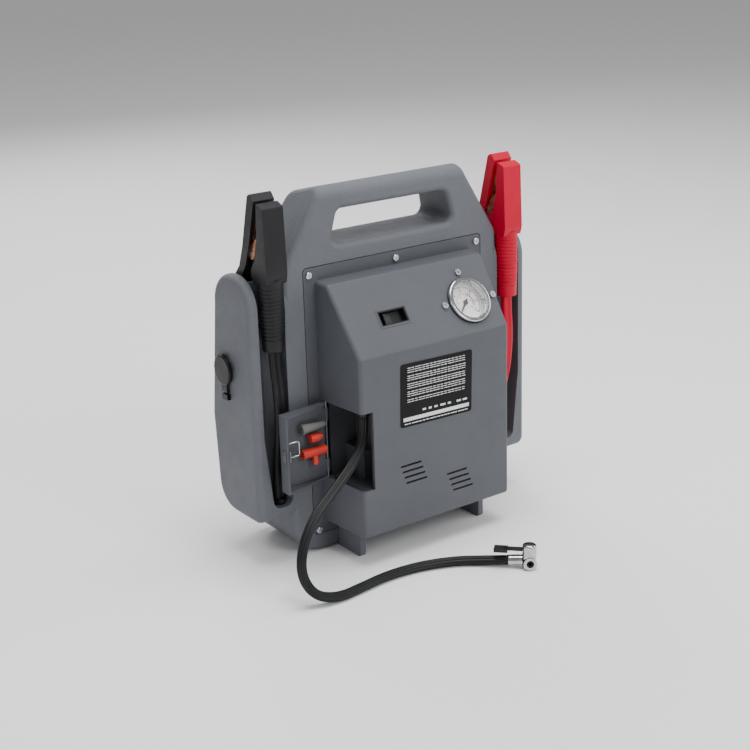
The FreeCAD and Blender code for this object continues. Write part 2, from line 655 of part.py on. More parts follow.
def clamp(colour):
    """One clamp parked over its web: the front arm is held, the rear arm pivots."""
    x = CLAMP_X[colour]
    half = 12.0
    front = [
        (-57, 376, 2), (-46.4, 380, 1), (-44.0, 345, 3), (-38, 322, 4), (-31, 312, 3), (-31, 304, 2),
        (-36, 300, 2), (-57, 300, 2), (-59.5, 309, 3),
    ]
    front_boot = prism_x(front, x - half, x + half)
    front_boot = front_boot.cut(prism_x([(-46, 334, 0), (-20, 334, 0), (-20, 312, 0), (-40, 312, 0)],
                                        x - half + 2.5, x + half - 2.5))
    grip = union([cone(GRIP_TOP_R, GRIP_MID_R, (x, GRIP_Y, GRIP_TOP_Z), (x, GRIP_Y, GRIP_MID_Z)),
                  cone(GRIP_MID_R, GRIP_LOW_R, (x, GRIP_Y, GRIP_MID_Z), (x, GRIP_Y, GRIP_BOTTOM_Z))])
    front_boot = union([front_boot, grip])
    for k in range(GRIP_GROOVES):
        z = 295 - GRIP_PITCH * k
        above = z > GRIP_MID_Z
        far_z, far_r = (GRIP_TOP_Z, GRIP_TOP_R) if above else (GRIP_BOTTOM_Z, GRIP_LOW_R)
        r = GRIP_MID_R + (far_r - GRIP_MID_R) * (z - GRIP_MID_Z) / (far_z - GRIP_MID_Z)
        front_boot = front_boot.cut(Part.makeTorus(r + 0.3, 0.9, V(x, GRIP_Y, z), V(0, 0, 1)))
    rear = [
        (-42.2, 381, 1), (-36, 388, 2), (-31, 385, 2), (-17, 333, 6), (-9, 312, 5), (2, 300, 5), (2, 294, 0),
        (-13, 294, 0), (-14.5, 304, 3), (-22, 316, 4), (-30, 338, 6),
    ]
    rear_boot = prism_x(rear, x - half, x + half)
    rear_boot = union([rear_boot, cone(9.6, 10.4, (x, -4.6, 302), (x, 8.2, 238))])
    rear_boot = rear_boot.cut(box(x - half + 2.5, x + half - 2.5, -40, -19.5, 306, 340))
    front_jaw, rear_jaw, rivet, spring = jaws(x)
    keep(colour + "_front_boot", front_boot.cut(front_jaw))
    keep(colour + "_rear_boot", rear_boot.cut(rear_jaw))
    keep(colour + "_rear_jaw", rear_jaw)
    return front_jaw, rivet, spring


def jaws(x):
    """Copper jaw plates with their ears, the rivet and the torsion spring."""
    front_plate = prism_x([(-44.1, 346, 0), (-45.9, 374, 0), (-44.3, 374, 0), (-42.5, 346, 0)],
                          x - 8.5, x + 8.5)
    front_ears = prism_x([(-44.1, 346, 0), (-42.0, 346, 0), (-22.5, 331, 3), (-22.5, 322, 4), (-31, 321, 4),
                          (-40, 335, 0)], x - 9.0, x - 7.8)
    other = front_ears.mirror(V(x, 0, 0), V(1, 0, 0))
    hole = cylinder(2.55, (x - 14, PIVOT_Y, PIVOT_Z), (x + 14, PIVOT_Y, PIVOT_Z))
    front_jaw = union([front_plate, front_ears, other]).cut(hole)
    rear_plate = prism_x([(-33.2, 346, 0), (-41.6, 374, 0), (-40.2, 374.6, 0), (-31.8, 346.6, 0)],
                         x - 7.0, x + 7.0)
    rear_ears = prism_x([(-34.0, 347, 0), (-31.2, 347, 0), (-22.6, 331, 3), (-22.6, 322.5, 4),
                         (-31, 322.5, 4), (-33.5, 335, 0)], x - 7.4, x - 6.2)
    other = rear_ears.mirror(V(x, 0, 0), V(1, 0, 0))
    rear_jaw = union([rear_plate, rear_ears, other]).cut(hole)
    rivet = cylinder(2.5, (x - 9.4, PIVOT_Y, PIVOT_Z), (x + 9.4, PIVOT_Y, PIVOT_Z))
    coil = cylinder(4.4, (x - 4.5, PIVOT_Y, PIVOT_Z), (x + 4.5, PIVOT_Y, PIVOT_Z))
    coil = coil.cut(cylinder(2.7, (x - 9, PIVOT_Y, PIVOT_Z), (x + 9, PIVOT_Y, PIVOT_Z)))
    leg = cylinder(0.8, (x - 3.6, PIVOT_Y - 3.5, PIVOT_Z), (x - 3.6, PIVOT_Y - 9, PIVOT_Z - 13))
    return front_jaw, rear_jaw, rivet, union([coil, leg])


def clamps():
    """Both clamps. The pieces that both hold still share a node with their twins."""
    shared = [clamp(colour) for colour in CLAMP_X]
    for node, pair in zip(("clamp_front_jaws", "clamp_rivets", "clamp_springs"), zip(*shared)):
        keep(node, *pair)


def leads():
    grommets = []
    for colour in CLAMP_X:
        keep(colour + "_lead", cord_tube(lead_route(colour), LEAD_D, colour + "_lead"))
        x, y, z = lead_end(colour)
        grommets.append(union([cylinder(5.9, (x, y, CHANNEL_FLOOR - 7), (x, y, z)),
                               cylinder(6.6, (x, y, CHANNEL_FLOOR + 3.2), (x, y, CHANNEL_FLOOR + 5.4))]))
    keep("lead_grommets", *grommets)


# ----------------------------------------------------------- 12 V socket

def socket():
    face = -WING_OUT
    shell = cylinder(SOCKET_R, (face - 2.0, SOCKET_Y, SOCKET_Z), (face + 38, SOCKET_Y, SOCKET_Z))
    shell = union([shell, cylinder(14.5, (face - 2.0, SOCKET_Y, SOCKET_Z), (face - 0.1, SOCKET_Y, SOCKET_Z))])
    shell = shell.cut(cylinder(10.5, (face - 5, SOCKET_Y, SOCKET_Z), (face + 30, SOCKET_Y, SOCKET_Z)))
    shell = shell.cut(cone(11.5, 10.5, (face - 2.1, SOCKET_Y, SOCKET_Z), (face, SOCKET_Y, SOCKET_Z)))
    shell = shell.cut(cylinder(4.0, (face + 29, SOCKET_Y, SOCKET_Z), (face + 36, SOCKET_Y, SOCKET_Z)))
    keep("dc_socket", shell)
    keep("socket_contact", cylinder(3.0, (face + 30, SOCKET_Y, SOCKET_Z), (face + 36, SOCKET_Y, SOCKET_Z)))
    cap = cylinder(15.8, (face - 6.4, SOCKET_Y, SOCKET_Z), (face - 2.3, SOCKET_Y, SOCKET_Z))
    cap = cap.makeFillet(2.0, flat_edges(cap, "X", face - 6.4))
    lip = cylinder(10.2, (face - 2.4, SOCKET_Y, SOCKET_Z), (face - 0.6, SOCKET_Y, SOCKET_Z))
    strap = box(face - 4.2, face - 2.3, SOCKET_Y - 5, SOCKET_Y + 5, SOCKET_Z - 22.6, SOCKET_Z - 12)
    pivot = cylinder(1.6, (face - 2.6, SOCKET_Y - 5, CAP_HINGE_Z), (face - 2.6, SOCKET_Y + 5, CAP_HINGE_Z))
    keep("socket_cap", union([cap, lip, strap, pivot]))
    keep("cap_anchor", box(face - 4.2, face - 0.05, SOCKET_Y - 5, SOCKET_Y + 5,
                           CAP_HINGE_Z - 9, CAP_HINGE_Z - 3.4))


# ---------------------------------------------------------------- inside

def battery():
    w, d, h = BATTERY
    y, z = BATTERY_Y0, BATTERY_Z0
    keep("battery", box(-w / 2, w / 2, y, y + d, z, z + h - BATTERY_LID))
    terminals = [box(tx - 7, tx + 7, y + 8, y + 20, z + h - BATTERY_LID, z + h + 8) for tx in (-72, 72)]
    keep("battery_terminals", *terminals)


def compressor():
    """Motor, pump and pipes inside the cover."""
    keep("compressor_motor", cylinder(18, (-28, -76, 110), (34, -76, 110)))
    crank = union([box(34, 66, -96, -56, 88, 138), cylinder(15, (50, -76, 138), (50, -76, 176))])
    keep("pump_body", crank)
    keep("pump_head", union([cylinder(17, (50, -76, 176), (50, -76, 188)), box(44, 56, -82, -70, 188, 196)]))
    cradle = cylinder(18.1, (-30, -76, 110), (40, -76, 110))
    keep("motor_mount", box(-20, 28, -94.5, -57.5, 60, 90).cut(cradle))
    ox, oy, _ = HOSE_ROUTE[0]
    keep("delivery_pipe", union([cylinder(3, (ox, oy, DOOR_Z1 + 8), (ox, oy, 192)),
                                 box(ox - 3, 47, -79, -73, 189, 195).common(box(-200, 44, -200, 0, 0, 400)),
                                 box(ox - 3, ox + 3, oy - 3, -73, 189, 195)]))
    keep("circuit_board", box(-90, -10, -36, -34, 200, 270))
    keep("main_fuse", box(10, 50, -36, -26, 205, 222))
    keep("battery_cables", box(-72 - 4, -72 + 4, -20, -14, 187, 215), box(68, 76, -20, -14, 187, 215))


def rear_fittings():
    x, z = JACK
    y = rear_y(z)
    jack = cylinder(5.0, (x, y - 14, z), (x, y + 0.6, z))
    keep("charge_jack", jack.cut(cylinder(2.8, (x, y - 9, z), (x, y + 2, z))))
    x, z = BUTTON
    keep("test_button", cylinder(4.0, (x, y - 5, z), (x, y + 2.6, z)))
    lights = [cylinder(2.4, (x + 16 + 9 * k, y - 5, z), (x + 16 + 9 * k, y + 0.8, z)) for k in range(3)]
    keep("level_lights", *lights)


os.makedirs("parts", exist_ok=True)
shells()
compressor_cover()
fasteners()
label()
gauge()
switch()
hose_door()
adapters()
hose_liner()
hose_and_chuck()
clamps()
leads()
socket()
battery()
compressor()
rear_fittings()
print(len(parts), "nodes")
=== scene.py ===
import bpy
import bmesh
import math
from mathutils import Matrix, Vector


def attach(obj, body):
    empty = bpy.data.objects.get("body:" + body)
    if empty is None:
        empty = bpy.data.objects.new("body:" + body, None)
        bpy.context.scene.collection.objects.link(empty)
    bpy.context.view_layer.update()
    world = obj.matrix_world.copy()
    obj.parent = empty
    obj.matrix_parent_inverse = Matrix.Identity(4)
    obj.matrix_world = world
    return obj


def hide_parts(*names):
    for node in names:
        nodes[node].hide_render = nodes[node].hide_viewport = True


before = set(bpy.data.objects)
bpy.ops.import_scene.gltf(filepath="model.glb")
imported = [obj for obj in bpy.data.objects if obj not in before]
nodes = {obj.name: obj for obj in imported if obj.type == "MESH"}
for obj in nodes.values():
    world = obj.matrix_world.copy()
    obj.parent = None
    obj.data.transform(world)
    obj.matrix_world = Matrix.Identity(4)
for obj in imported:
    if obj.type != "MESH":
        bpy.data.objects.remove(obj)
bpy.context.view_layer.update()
print("frame loaded")

cameraSettings = {
    "place": (-0.8794, -1.2449, 0.6783),
    "azimuth": 36.18,
    "elevation": 18.12,
    "roll": -1.5,
    "lens": 71.37,
    "shift": (-0.0264, -0.0244),
}


def makeCamera():
    turn, rise, roll = (math.radians(cameraSettings[k]) for k in ("azimuth", "elevation", "roll"))
    back = Vector((-math.sin(turn) * math.cos(rise), -math.cos(turn) * math.cos(rise), math.sin(rise)))
    level = Vector((math.cos(turn), -math.sin(turn), 0))
    upright = back.cross(level)
    right = math.cos(roll) * level + math.sin(roll) * upright
    up = math.cos(roll) * upright - math.sin(roll) * level
    data = bpy.data.cameras.new("camera")
    data.lens = cameraSettings["lens"]
    data.sensor_width = 36
    data.shift_x, data.shift_y = cameraSettings["shift"]
    camera = bpy.data.objects.new("camera", data)
    turned = Matrix((right, up, back)).transposed().to_4x4()
    camera.matrix_world = Matrix.Translation(cameraSettings["place"]) @ turned
    bpy.context.collection.objects.link(camera)
    bpy.context.scene.camera = camera


makeCamera()

lightSettings = {
    "key": {"place": (0.5, -2.4, 1.7), "size": 1.2, "power": 30},
    "left": {"place": (-2.3, -0.3, 1.0), "size": 1.0, "power": 4.5},
    "right": {"place": (2.1, -0.9, 1.2), "size": 1.0, "power": 14},
    "top": {"place": (0.1, -0.2, 2.4), "size": 1.5, "power": 62},
    "back": {"place": (0.4, 2.0, 1.5), "size": 1.4, "power": 24},
}


studioSettings = {
    "aim": (0, 0, 0.17),
    "strength": 0.36,
}


def makeLights():
    for name, s in lightSettings.items():
        data = bpy.data.lights.new(name, "AREA")
        data.size, data.energy = s["size"], s["power"]
        light = bpy.data.objects.new(name, data)
        light.location = s["place"]
        aim = Vector(studioSettings["aim"]) - Vector(s["place"])
        light.rotation_euler = aim.to_track_quat("-Z", "Y").to_euler()
        bpy.context.collection.objects.link(light)
    world = bpy.data.worlds.new("studio")
    world.use_nodes = True
    sky = world.node_tree.nodes["Background"].inputs
    sky["Color"].default_value = (1, 1, 1, 1)
    sky["Strength"].default_value = studioSettings["strength"]
    bpy.context.scene.world = world


makeLights()
print("camera and lights made")


def newMaterial(name, colour, roughness, **sockets):
    mat = bpy.data.materials.new(name)
    mat.use_nodes = True
    shader = mat.node_tree.nodes["Principled BSDF"]
    shader.inputs["Base Color"].default_value = (*colour, 1)
    shader.inputs["Roughness"].default_value = roughness
    for socket, value in sockets.items():
        shader.inputs[socket.replace("_", " ")].default_value = value
    return mat, shader


def addNode(mat, kind, **inputs):
    node = mat.node_tree.nodes.new(kind)
    for socket, value in inputs.items():
        node.inputs[socket.replace("_", " ")].default_value = value
    return node


def link(mat, a, b):
    mat.node_tree.links.new(a, b)


def objectPlace(mat):
    return addNode(mat, "ShaderNodeTexCoord").outputs["Object"]


def varyColour(mat, shader, light, dark, scale, spread=(0.35, 0.65)):
    # soft mottling between two near shades
    noise = addNode(mat, "ShaderNodeTexNoise", Scale=scale, Detail=4.0, Roughness=0.6)
    ramp = addNode(mat, "ShaderNodeValToRGB")
    ramp.color_ramp.elements[0].position, ramp.color_ramp.elements[1].position = spread
    ramp.color_ramp.elements[0].color = (*dark, 1)
    ramp.color_ramp.elements[1].color = (*light, 1)
    link(mat, objectPlace(mat), noise.inputs["Vector"])
    link(mat, noise.outputs["Fac"], ramp.inputs["Fac"])
    link(mat, ramp.outputs["Color"], shader.inputs["Base Color"])


def varyRoughness(mat, shader, low, high, scale):
    noise = addNode(mat, "ShaderNodeTexNoise", Scale=scale, Detail=3.0)
    spread = addNode(mat, "ShaderNodeMapRange", From_Min=0.3, From_Max=0.7, To_Min=low, To_Max=high)
    link(mat, objectPlace(mat), noise.inputs["Vector"])
    link(mat, noise.outputs["Fac"], spread.inputs["Value"])
    link(mat, spread.outputs["Result"], shader.inputs["Roughness"])


def addBump(mat, shader, height, depth, strength=1.0):
    bump = addNode(mat, "ShaderNodeBump", Strength=strength, Distance=depth)
    link(mat, height, bump.inputs["Height"])
    link(mat, bump.outputs["Normal"], shader.inputs["Normal"])


def grainHeight(mat, cell, fine):
    # pebbles of about 1/cell metres with finer noise on them
    pebble = addNode(mat, "ShaderNodeTexVoronoi", Scale=cell)
    pebble.feature = "SMOOTH_F1"
    noise = addNode(mat, "ShaderNodeTexNoise", Scale=fine, Detail=2.0)
    place = objectPlace(mat)
    link(mat, place, pebble.inputs["Vector"])
    link(mat, place, noise.inputs["Vector"])
    mix = addNode(mat, "ShaderNodeMath")
    mix.operation = "ADD"
    link(mat, pebble.outputs["Distance"], mix.inputs[0])
    link(mat, noise.outputs["Fac"], mix.inputs[1])
    return mix.outputs["Value"]


textureScale = {
    "shellGloss": 60.0,
    "plasticTone": 22.0,
    "plasticGloss": 90.0,
    "plasticGrain": 900.0,
    "metalTone": 160.0,
    "metalGloss": 300.0,
    "metalScratch": 1400.0,
    "lensGloss": 120.0,
}


def grainedPlastic(name, light, dark, roughness, cell, depth, mottle=14.0):
    mat, shader = newMaterial(name, light, roughness, Specular_IOR_Level=0.42)
    varyColour(mat, shader, light, dark, mottle)
    varyRoughness(mat, shader, roughness - 0.06, roughness + 0.08, textureScale["shellGloss"])
    addBump(mat, shader, grainHeight(mat, cell, cell * 2.3), depth)
    return mat


def smoothPlastic(name, light, dark, roughness, coat=0.0, grain=0.00003, shine=0.5):
    mat, shader = newMaterial(name, light, roughness, Specular_IOR_Level=shine, Coat_Weight=coat)
    varyColour(mat, shader, light, dark, textureScale["plasticTone"])
    varyRoughness(mat, shader, roughness - 0.05, roughness + 0.07, textureScale["plasticGloss"])
    noise = addNode(mat, "ShaderNodeTexNoise", Scale=textureScale["plasticGrain"], Detail=3.0)
    link(mat, objectPlace(mat), noise.inputs["Vector"])
    addBump(mat, shader, noise.outputs["Fac"], grain, 0.6)
    return mat


def metal(name, light, dark, roughness, scratch=0.00002):
    mat, shader = newMaterial(name, light, roughness, Metallic=1.0)
    varyColour(mat, shader, light, dark, textureScale["metalTone"])
    smoothest = max(roughness - 0.06, 0.04)
    varyRoughness(mat, shader, smoothest, roughness + 0.1, textureScale["metalGloss"])
    noise = addNode(mat, "ShaderNodeTexNoise", Scale=textureScale["metalScratch"], Detail=4.0)
    link(mat, objectPlace(mat), noise.inputs["Vector"])
    addBump(mat, shader, noise.outputs["Fac"], scratch, 0.5)
    return mat


def clearPlastic():
    mat, shader = newMaterial("clearLens", (0.9, 0.92, 0.92), 0.04, IOR=1.4, Alpha=0.05)
    varyRoughness(mat, shader, 0.04, 0.1, textureScale["lensGloss"])
    return mat


finish = {
    "shell": grainedPlastic("shellGrain", (0.121, 0.129, 0.147), (0.111, 0.118, 0.135), 0.58, 800.0, 0.00034),
    "cover": grainedPlastic("coverGrain", (0.078, 0.083, 0.097), (0.073, 0.078, 0.091), 0.5, 1300.0, 0.0001),
    "black": smoothPlastic("blackPlastic", (0.013, 0.0125, 0.015), (0.007, 0.007, 0.009), 0.42, shine=0.3),
    "rubber": smoothPlastic("blackRubber", (0.011, 0.011, 0.013), (0.006, 0.006, 0.007), 0.5,
                            grain=0.00005, shine=0.28),
    "gloss": smoothPlastic("glossRubber", (0.006, 0.006, 0.007), (0.004, 0.004, 0.005), 0.3, 0.0, shine=0.22),
    "hose": smoothPlastic("hoseRubber", (0.008, 0.009, 0.010), (0.004, 0.005, 0.006), 0.4, shine=0.28),
    "red": smoothPlastic("redPlastic", (0.56, 0.0006, 0.030), (0.51, 0.0005, 0.025), 0.42, 0.0, shine=0.2),
    "adapterRed": smoothPlastic("adapterRed", (0.66, 0.038, 0.020), (0.54, 0.026, 0.014), 0.36, 0.1),
    "adapterGrey": smoothPlastic("adapterGrey", (0.15, 0.15, 0.145), (0.12, 0.12, 0.115), 0.45),
    "dark": smoothPlastic("linerPlastic", (0.05, 0.052, 0.058), (0.038, 0.04, 0.045), 0.5),
    "label": smoothPlastic("labelFilm", (0.005, 0.005, 0.006), (0.003, 0.003, 0.004), 0.42,
                           grain=0.00001, shine=0.16),
    "print": smoothPlastic("whitePrint", (0.78, 0.79, 0.80), (0.70, 0.71, 0.72), 0.5),
    "dial": smoothPlastic("dialWhite", (0.94, 0.94, 0.93), (0.90, 0.90, 0.89), 0.5),
    "inkBlack": smoothPlastic("dialBlack", (0.010, 0.010, 0.011), (0.006, 0.006, 0.007), 0.5, shine=0.2),
    "inkRed": smoothPlastic("dialRed", (0.55, 0.01, 0.02), (0.45, 0.008, 0.015), 0.5, shine=0.2),
    "zinc": metal("brightZinc", (0.70, 0.71, 0.72), (0.50, 0.51, 0.52), 0.26),
    "pin": metal("darkSteel", (0.22, 0.22, 0.23), (0.15, 0.15, 0.16), 0.4),
    "copper": metal("copperJaw", (0.58, 0.26, 0.15), (0.36, 0.13, 0.07), 0.34, 0.00005),
    "chrome": metal("chromePlate", (0.56, 0.56, 0.57), (0.44, 0.44, 0.45), 0.12),
    "lead": metal("dullLead", (0.42, 0.43, 0.45), (0.3, 0.31, 0.33), 0.5),
    "clear": clearPlastic(),
    "bezel": metal("bezelChrome", (0.70, 0.71, 0.73), (0.58, 0.59, 0.61), 0.1),
    "board": smoothPlastic("boardGreen", (0.02, 0.16, 0.06), (0.015, 0.11, 0.045), 0.4),
    "light": smoothPlastic("lightRed", (0.5, 0.02, 0.02), (0.38, 0.012, 0.012), 0.2, 0.5),
}

nodeFinish = {
    "shell": ["front_shell", "rear_shell"],
    "cover": ["compressor_cover", "hose_door"],
    "black": [
        "black_front_boot", "black_rear_boot", "switch_tray", "switch_body", "gauge_movement",
        "hose_outlet", "charge_jack", "test_button", "main_fuse", "chuck_lever", "motor_mount",
        "switch_rocker", "battery",
    ],
    "red": ["red_front_boot", "red_rear_boot"],
    "rubber": ["lead_grommets", "battery_cables", "chuck_seal"],
    "gloss": ["socket_cap", "cap_anchor"],
    "dark": ["hose_liner", "adapter_clips"],
    "zinc": [
        "cover_screws", "shell_screws", "gauge_screws", "clamp_rivets", "clamp_springs", "chuck_pin",
    ],
    "copper": ["clamp_front_jaws", "black_rear_jaw", "red_rear_jaw", "socket_contact"],
    "chrome": ["chuck_body", "hose_ferrule", "dc_socket"],
    "bezel": ["gauge_bezel", "gauge_case"],
    "pin": ["door_hinge_pin", "door_latch"],
    "adapterGrey": ["cone_adapter"],
    "adapterRed": ["ball_needle_adapter", "valve_adapter"],
    "dial": ["gauge_dial"],
    "inkBlack": ["gauge_needle"],
    "clear": ["gauge_lens"],
    "label": ["rating_label"],
    "lead": ["battery_terminals", "compressor_motor", "pump_body", "pump_head", "delivery_pipe"],
    "board": ["circuit_board"],
    "light": ["level_lights"],
}


def dressNodes():
    for key, names in nodeFinish.items():
        for name in names:
            piece = nodes[name]
            if not piece.data.materials:
                piece.data.materials.append(None)
            for i in range(len(piece.material_slots)):
                piece.material_slots[i].material = finish[key]


dressNodes()
print("frame dressed")


def newPiece(name, verts, faces, mat, smooth=True):
    mesh = bpy.data.meshes.new(name)
    mesh.from_pydata([tuple(v) for v in verts], [], faces)
    mesh.update()
    fixed = bmesh.new()
    fixed.from_mesh(mesh)
    bmesh.ops.recalc_face_normals(fixed, faces=fixed.faces)
    fixed.to_mesh(mesh)
    fixed.free()
    if smooth:
        mesh.shade_smooth()
    mesh.materials.append(mat)
    piece = bpy.data.objects.new(name, mesh)
    bpy.context.collection.objects.link(piece)
    return piece


def routeCurve(name, points):
    # the cord's own smooth line through its route's points
    data = bpy.data.curves.new(name, "CURVE")
    data.dimensions = "3D"
    data.resolution_u = 12
    spline = data.splines.new("NURBS")
    spline.points.add(len(points) - 1)
    for point, place in zip(spline.points, points):
        point.co = (*place, 1)
    spline.order_u = 3
    spline.use_endpoint_u = True
    line = bpy.data.objects.new(name, data)
    mesh = bpy.data.meshes.new_from_object(line)
    path = [v.co.copy() for v in mesh.vertices]
    bpy.data.meshes.remove(mesh)
    bpy.data.objects.remove(line)
    return path


def sweep(name, path, profile, mat, side):
    # carries a closed outline along a path, keeping its width near the side direction
    verts, faces = [], []
    count = len(profile)
    across = Vector(side)
    for i, place in enumerate(path):
        ahead = path[min(i + 1, len(path) - 1)] - path[max(i - 1, 0)]
        ahead.normalize()
        across = (across - across.dot(ahead) * ahead).normalized()
        other = ahead.cross(across)
        verts += [place + across * a + other * b for a, b in profile]
        if i:
            low, high = (i - 1) * count, i * count
            for k in range(count):
                after = (k + 1) % count
                faces.append((low + k, low + after, high + after, high + k))
    faces.append(tuple(range(count)))
    faces.append(tuple(reversed(range(len(verts) - count, len(verts)))))
    return newPiece(name, verts, faces, mat)


hoseSettings = {
    "diameter": 0.010,
    "ribs": 12,
    "pointsPerRib": 6,
    "ribDepth": 0.0008,
    "route": [
        (-0.0816, -0.098, 0.160), (-0.0816, -0.098, 0.137), (-0.096, -0.103, 0.118),
        (-0.130, -0.115, 0.099), (-0.166, -0.129, 0.083), (-0.187, -0.138, 0.058),
        (-0.191, -0.142, 0.033), (-0.181, -0.149, 0.012), (-0.158, -0.155, 0.0052),
        (-0.126, -0.151, 0.0052), (-0.092, -0.1465, 0.0052), (-0.055, -0.150, 0.0052),
        (-0.020, -0.163, 0.0052), (0.003, -0.181, 0.0056), (0.0215, -0.2005, 0.0075),
    ],
}


def makeHose():
    s = hoseSettings
    path = routeCurve("hoseLine", s["route"])
    count = s["ribs"] * s["pointsPerRib"]
    profile = []
    for k in range(count):
        angle = 2 * math.pi * k / count
        r = s["diameter"] / 2 - s["ribDepth"] * (0.5 - 0.5 * math.cos(s["ribs"] * angle))
        profile.append((r * math.cos(angle), r * math.sin(angle)))
    hose = sweep("airHose", path, profile, finish["hose"], (1, 0, 0))
    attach(hose, "housing")
    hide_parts("air_hose")


leadSettings = {
    "width": 0.0135,
    "thick": 0.0072,
    "waist": 0.72,
    "pinch": 1.1,
    "swell": 1.25,
    "lean": 0.15,
    "steps": 40,
    "top": {"black": -0.1505, "red": 0.1505},
    "route": {
        "black": [(0, -0.047, 0.232), (0, -0.047, 0.214), (0.0015, -0.0495, 0.190), (0.004, -0.046, 0.150),
                  (0.0045, -0.038, 0.112), (0.0045, -0.035, 0.088), (0.0045, -0.035, 0.068)],
        "red": [(0, -0.047, 0.232), (0, -0.047, 0.214), (-0.0005, -0.049, 0.190), (-0.0005, -0.046, 0.150),
                (0.003, -0.0375, 0.112), (0.0045, -0.035, 0.088), (0.0045, -0.035, 0.068)],
    },
}


def makeLead(colour, mat):
    # a flat twin cable: two round cores side by side with a waist between
    s = leadSettings
    x = s["top"][colour]
    side = 1 if x < 0 else -1
    path = routeCurve(colour + "Line", [(x + side * a, b, c) for a, b, c in s["route"][colour]])
    profile = []
    for k in range(s["steps"]):
        angle = 2 * math.pi * k / s["steps"]
        pinch = s["waist"] + (1 - s["waist"]) * math.sin(2 * angle) ** 2 * s["pinch"]
        half = s["thick"] / 2 * math.sin(angle) * pinch * s["swell"]
        profile.append((s["width"] / 2 * math.cos(angle), half))
    lead = sweep(colour + "Lead", path, profile, mat, (1, s["lean"] * side, 0))
    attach(lead, "housing")
    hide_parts(colour + "_lead")


makeHose()
makeLead("black", finish["rubber"])
makeLead("red", finish["red"])
print("hose and leads made")

# helpers for printed marks and small repeats

def placeMatrix(origin, right, up):
    # a flat piece's own plane: right, up and outwards
    right, up = Vector(right).normalized(), Vector(up).normalized()
    out = right.cross(up)
    turn = Matrix((right, up, out)).transposed().to_4x4()
    return Matrix.Translation(origin) @ turn


def newTree(name, inputs):
    tree = bpy.data.node_groups.new(name, "GeometryNodeTree")
    for label, kind in inputs:
        tree.interface.new_socket(label, in_out="INPUT", socket_type=kind)
    tree.interface.new_socket("Mesh", in_out="OUTPUT", socket_type="NodeSocketGeometry")
    return tree, tree.nodes.new("NodeGroupInput"), tree.nodes.new("NodeGroupOutput")


def feed(tree, node, values):
    # numbers go on the sockets and links go to them
    for socket, value in zip(node.inputs, values):
        if isinstance(value, (int, float)):
            socket.default_value = value
        else:
            tree.links.new(value, socket)
    return node.outputs[0]


def mathNode(tree, operation, a, b=0.0):
    node = tree.nodes.new("ShaderNodeMath")
    node.operation = operation
    return feed(tree, node, (a, b))


def vectorNode(tree, x, y, z):
    return feed(tree, tree.nodes.new("ShaderNodeCombineXYZ"), (x, y, z))


def scatterBoxes(tree, count, place, turn, scale, material, output):
    # one unit box on each point, turned and scaled, then made real
    points = tree.nodes.new("GeometryNodePoints")
    cube = tree.nodes.new("GeometryNodeMeshCube")
    instances = tree.nodes.new("GeometryNodeInstanceOnPoints")
    realise = tree.nodes.new("GeometryNodeRealizeInstances")
    paint = tree.nodes.new("GeometryNodeSetMaterial")
    cube.inputs["Size"].default_value = (1, 1, 1)
    tree.links.new(count, points.inputs["Count"])
    tree.links.new(place, points.inputs["Position"])
    tree.links.new(points.outputs[0], instances.inputs["Points"])
    tree.links.new(cube.outputs["Mesh"], instances.inputs["Instance"])
    tree.links.new(turn, instances.inputs["Rotation"])
    tree.links.new(scale, instances.inputs["Scale"])
    tree.links.new(instances.outputs[0], realise.inputs[0])
    tree.links.new(realise.outputs[0], paint.inputs["Geometry"])
    tree.links.new(material, paint.inputs["Material"])
    tree.links.new(paint.outputs[0], output.inputs["Mesh"])


def tickTree():
    tree, given, output = newTree("dialTicks", [
        ("Count", "NodeSocketInt"), ("Start", "NodeSocketFloat"), ("Sweep", "NodeSocketFloat"),
        ("Inner", "NodeSocketFloat"), ("Outer", "NodeSocketFloat"), ("Width", "NodeSocketFloat"),
        ("Thick", "NodeSocketFloat"), ("Material", "NodeSocketMaterial"),
    ])
    get = given.outputs
    index = tree.nodes.new("GeometryNodeInputIndex").outputs[0]
    last = mathNode(tree, "SUBTRACT", get["Count"], 1.0)
    share = mathNode(tree, "DIVIDE", index, last)
    angle = mathNode(tree, "ADD", get["Start"], mathNode(tree, "MULTIPLY", get["Sweep"], share))
    middle = mathNode(tree, "MULTIPLY", mathNode(tree, "ADD", get["Inner"], get["Outer"]), 0.5)
    x = mathNode(tree, "MULTIPLY", middle, mathNode(tree, "COSINE", angle))
    y = mathNode(tree, "MULTIPLY", middle, mathNode(tree, "SINE", angle))
    long = mathNode(tree, "SUBTRACT", get["Outer"], get["Inner"])
    scatterBoxes(tree, get["Count"], vectorNode(tree, x, y, 0.0), vectorNode(tree, 0.0, 0.0, angle),
                 vectorNode(tree, long, get["Width"], get["Thick"]), get["Material"], output)
    return tree


